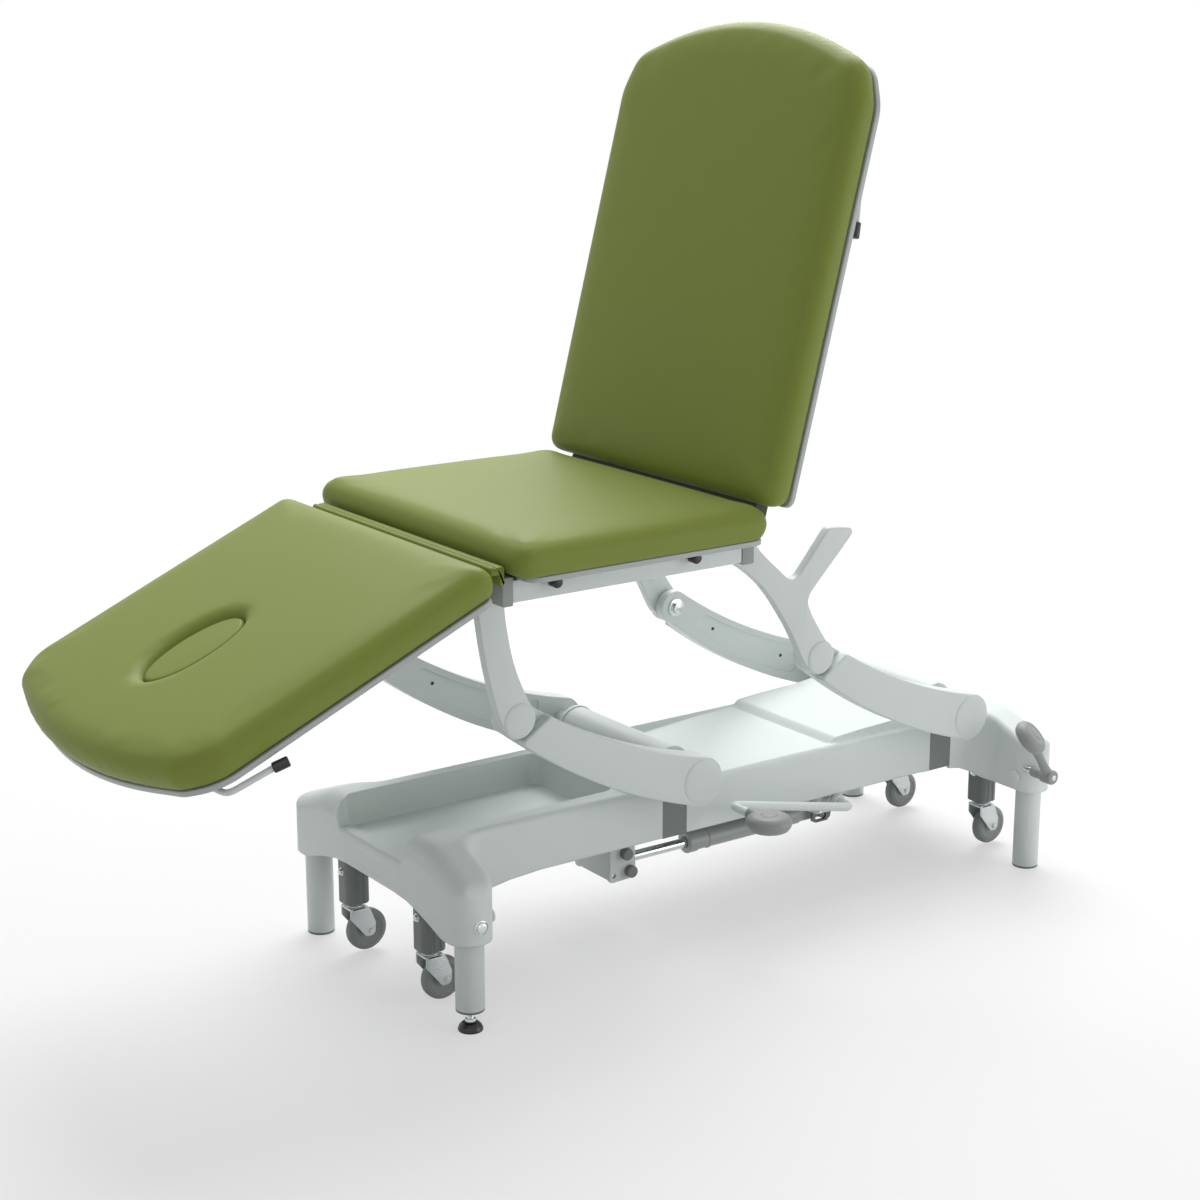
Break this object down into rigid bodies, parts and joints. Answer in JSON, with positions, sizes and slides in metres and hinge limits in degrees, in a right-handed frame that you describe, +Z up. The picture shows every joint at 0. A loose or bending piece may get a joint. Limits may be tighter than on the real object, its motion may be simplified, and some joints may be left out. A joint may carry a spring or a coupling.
{
  "type": "treatment couch",
  "caption": "Height adjustable three-section treatment couch with lifting arms, hinged backrest and leg section, foot pump lever and retracting castors.",
  "frame": {"origin": "middle of the lowest plane of the object's bounding box at rest, on the floor", "axes": "+X towards the head end, +Y towards the far side, +Z up"},
  "size_m": [1.8792, 0.688, 1.576],
  "materials": {
    "painted_steel": "satin paint",
    "cover_plastic": "satin moulded plastic",
    "dark_steel": "matt paint",
    "grey_plastic": "matt",
    "black_plastic": "matt",
    "bright_metal": "polished",
    "wheel_rubber": "grey rubber",
    "vinyl": "padded vinyl, soft sheen",
    "board_edge": "satin"
  },
  "bodies": {
    "base": {"base_cover": "cover_plastic", "chassis": "dark_steel", "pump_block": "painted_steel", "leg_foot_near": "painted_steel", "leg_foot_far": "painted_steel", "leg_head_near": "painted_steel", "leg_head_far": "painted_steel"},
    "foot_arms": {"arm_foot_near": "painted_steel", "arm_foot_far": "painted_steel", "torque_tube_foot": "painted_steel"},
    "head_arms": {"arm_head_near": "painted_steel", "arm_head_far": "painted_steel", "torque_tube_head": "painted_steel"},
    "platform": {"upright_foot_near": "painted_steel", "upright_foot_far": "painted_steel", "upright_head_near": "painted_steel", "upright_head_far": "painted_steel", "rail_cap_foot_near": "grey_plastic", "rail_cap_foot_far": "grey_plastic", "rail_cap_head_near": "grey_plastic", "rail_cap_head_far": "grey_plastic", "seat_rail_near": "painted_steel", "seat_rail_far": "painted_steel", "cross_member_foot": "painted_steel", "cross_member_head": "painted_steel", "seat_board": "board_edge", "seat_cushion": "vinyl", "hinge_strip": "vinyl"},
    "backrest": {"backrest_frame": "painted_steel", "backrest_board": "board_edge", "backrest_cushion": "vinyl", "backrest_strip": "vinyl"},
    "backrest_lever": {"backrest_release_lever": "painted_steel"},
    "leg_section": {"leg_frame": "painted_steel", "leg_board": "board_edge", "leg_cushion": "vinyl"},
    "leg_lever": {"leg_release_lever": "painted_steel"},
    "plug": {"breathing_plug": "vinyl"},
    "ram_rod": {"ram_rod": "bright_metal"},
    "ram_barrel": {"ram_barrel": "painted_steel"},
    "pump_lever": {"pump_lever": "painted_steel", "pump_lever_pad": "grey_plastic"},
    "caster_pedal": {"caster_pedal": "grey_plastic"},
    "levelling_foot": {"levelling_foot": "black_plastic"},
    "knob_foot_near": {"rail_knob_foot_near": "black_plastic"},
    "caster_carrier_foot_near": {"caster_sleeve_foot_near": "dark_steel"},
    "caster_swivel_foot_near": {"caster_fork_foot_near": "bright_metal"},
    "caster_wheel_foot_near": {"caster_wheel_foot_near": "wheel_rubber"},
    "knob_foot_far": {"rail_knob_foot_far": "black_plastic"},
    "caster_carrier_foot_far": {"caster_sleeve_foot_far": "dark_steel"},
    "caster_swivel_foot_far": {"caster_fork_foot_far": "bright_metal"},
    "caster_wheel_foot_far": {"caster_wheel_foot_far": "wheel_rubber"},
    "knob_head_near": {"rail_knob_head_near": "black_plastic"},
    "caster_carrier_head_near": {"caster_sleeve_head_near": "dark_steel"},
    "caster_swivel_head_near": {"caster_fork_head_near": "bright_metal"},
    "caster_wheel_head_near": {"caster_wheel_head_near": "wheel_rubber"},
    "knob_head_far": {"rail_knob_head_far": "black_plastic"},
    "caster_carrier_head_far": {"caster_sleeve_head_far": "dark_steel"},
    "caster_swivel_head_far": {"caster_fork_head_far": "bright_metal"},
    "caster_wheel_head_far": {"caster_wheel_head_far": "wheel_rubber"}
  },
  "joints": [
    {"name": "lift", "type": "hinge", "parent": "base", "child": "foot_arms", "pos_m": [0.10348, 0.016, 0.3205], "axis": [0, 1, 0], "range_deg": [-31, 28]},
    {"name": "head_lift", "type": "hinge", "parent": "base", "child": "head_arms", "pos_m": [0.73438, 0.016, 0.3205], "axis": [0, 1, 0], "range_deg": [-31, 28]},
    {"name": "platform_pivot", "type": "hinge", "parent": "foot_arms", "child": "platform", "pos_m": [-0.26496, 0.016, 0.49647], "axis": [0, 1, 0], "range_deg": [-28, 31]},
    {"name": "ram_pin", "type": "hinge", "parent": "foot_arms", "child": "ram_rod", "pos_m": [0.08108, 0.016, 0.107], "axis": [0, 1, 0], "range_deg": [-28, 31]},
    {"name": "ram_stroke", "type": "slide", "parent": "ram_rod", "child": "ram_barrel", "axis": [1, 0, 0], "range_m": [-0.1092, 0.0986]},
    {"name": "backrest_hinge", "type": "hinge", "parent": "platform", "child": "backrest", "pos_m": [0.19904, 0.016, 0.74867], "axis": [0, 1, 0], "range_deg": [-6, 75.3]},
    {"name": "leg_section_hinge", "type": "hinge", "parent": "platform", "child": "leg_section", "pos_m": [-0.34896, 0.016, 0.74197], "axis": [0, 1, 0], "range_deg": [-35, 23.7]},
    {"name": "plug_pull", "type": "slide", "parent": "leg_section", "child": "plug", "axis": [-0.4019, 0, 0.9157], "range_m": [0, 0.1]},
    {"name": "leg_lever_pull", "type": "hinge", "parent": "leg_section", "child": "leg_lever", "pos_m": [-0.82884, -0.22, 0.52083], "axis": [-0.4019, 0, 0.9157], "range_deg": [0, 12], "stiffness_Nm_per_rad": 2},
    {"name": "backrest_lever_pull", "type": "hinge", "parent": "backrest", "child": "backrest_lever", "pos_m": [0.36372, -0.206, 1.34407], "axis": [-0.9673, 0, 0.2538], "range_deg": [0, 12], "stiffness_Nm_per_rad": 2},
    {"name": "pump_stroke", "type": "hinge", "parent": "base", "child": "pump_lever", "pos_m": [0.47708, 0.016, 0.187], "axis": [0, 1, 0], "range_deg": [-25, 0], "stiffness_Nm_per_rad": 20, "springref_deg": 17.19},
    {"name": "caster_pedal_turn", "type": "hinge", "parent": "base", "child": "caster_pedal", "pos_m": [0.85308, 0.016, 0.206], "axis": [0, 1, 0], "range_deg": [0, 100]},
    {"name": "levelling_screw", "type": "slide", "parent": "base", "child": "levelling_foot", "axis": [0, 0, 1], "range_m": [-0.015, 0]},
    {"name": "knob_turn_foot_near", "type": "hinge", "parent": "platform", "child": "knob_foot_near", "pos_m": [-0.22896, 0.016, 0.73097], "axis": [0, 1, 0], "continuous": true},
    {"name": "caster_drop_foot_near", "type": "slide", "parent": "base", "child": "caster_carrier_foot_near", "axis": [0, 0, 1], "range_m": [-0.0221, 0]},
    {"name": "caster_swivel_foot_near", "type": "hinge", "parent": "caster_carrier_foot_near", "child": "caster_swivel_foot_near", "pos_m": [-0.37892, -0.11, 0.091], "axis": [0, 0, 1], "continuous": true},
    {"name": "caster_roll_foot_near", "type": "hinge", "parent": "caster_swivel_foot_near", "child": "caster_wheel_foot_near", "pos_m": [-0.35692, -0.11, 0.0415], "axis": [0, 1, 0], "continuous": true},
    {"name": "knob_turn_foot_far", "type": "hinge", "parent": "platform", "child": "knob_foot_far", "pos_m": [-0.22896, 0.016, 0.73097], "axis": [0, 1, 0], "continuous": true},
    {"name": "caster_drop_foot_far", "type": "slide", "parent": "base", "child": "caster_carrier_foot_far", "axis": [0, 0, 1], "range_m": [-0.0221, 0]},
    {"name": "caster_swivel_foot_far", "type": "hinge", "parent": "caster_carrier_foot_far", "child": "caster_swivel_foot_far", "pos_m": [-0.37892, 0.142, 0.091], "axis": [0, 0, 1], "continuous": true},
    {"name": "caster_roll_foot_far", "type": "hinge", "parent": "caster_swivel_foot_far", "child": "caster_wheel_foot_far", "pos_m": [-0.35692, 0.142, 0.0415], "axis": [0, 1, 0], "continuous": true},
    {"name": "knob_turn_head_near", "type": "hinge", "parent": "platform", "child": "knob_head_near", "pos_m": [0.04554, 0.016, 0.73097], "axis": [0, 1, 0], "continuous": true},
    {"name": "caster_drop_head_near", "type": "slide", "parent": "base", "child": "caster_carrier_head_near", "axis": [0, 0, 1], "range_m": [-0.0221, 0]},
    {"name": "caster_swivel_head_near", "type": "hinge", "parent": "caster_carrier_head_near", "child": "caster_swivel_head_near", "pos_m": [0.88108, -0.11, 0.091], "axis": [0, 0, 1], "continuous": true},
    {"name": "caster_roll_head_near", "type": "hinge", "parent": "caster_swivel_head_near", "child": "caster_wheel_head_near", "pos_m": [0.90308, -0.11, 0.0415], "axis": [0, 1, 0], "continuous": true},
    {"name": "knob_turn_head_far", "type": "hinge", "parent": "platform", "child": "knob_head_far", "pos_m": [0.04554, 0.016, 0.73097], "axis": [0, 1, 0], "continuous": true},
    {"name": "caster_drop_head_far", "type": "slide", "parent": "base", "child": "caster_carrier_head_far", "axis": [0, 0, 1], "range_m": [-0.0221, 0]},
    {"name": "caster_swivel_head_far", "type": "hinge", "parent": "caster_carrier_head_far", "child": "caster_swivel_head_far", "pos_m": [0.88108, 0.142, 0.091], "axis": [0, 0, 1], "continuous": true},
    {"name": "caster_roll_head_far", "type": "hinge", "parent": "caster_swivel_head_far", "child": "caster_wheel_head_far", "pos_m": [0.90308, 0.142, 0.0415], "axis": [0, 1, 0], "continuous": true}
  ],
  "couplings": [
    {"joint": "head_lift", "follows": "lift", "ratio": 1},
    {"joint": "platform_pivot", "follows": "lift", "ratio": -1},
    {"joint": "ram_pin", "follows": "lift", "ratio": -1},
    {"joint": "ram_stroke", "follows": "lift", "m_per_rad": 0.2016},
    {"joint": "caster_drop_foot_near", "follows": "caster_pedal_turn", "m_per_rad": -0.012605},
    {"joint": "caster_drop_foot_far", "follows": "caster_pedal_turn", "m_per_rad": -0.012605},
    {"joint": "caster_drop_head_near", "follows": "caster_pedal_turn", "m_per_rad": -0.012605},
    {"joint": "caster_drop_head_far", "follows": "caster_pedal_turn", "m_per_rad": -0.012605}
  ]
}
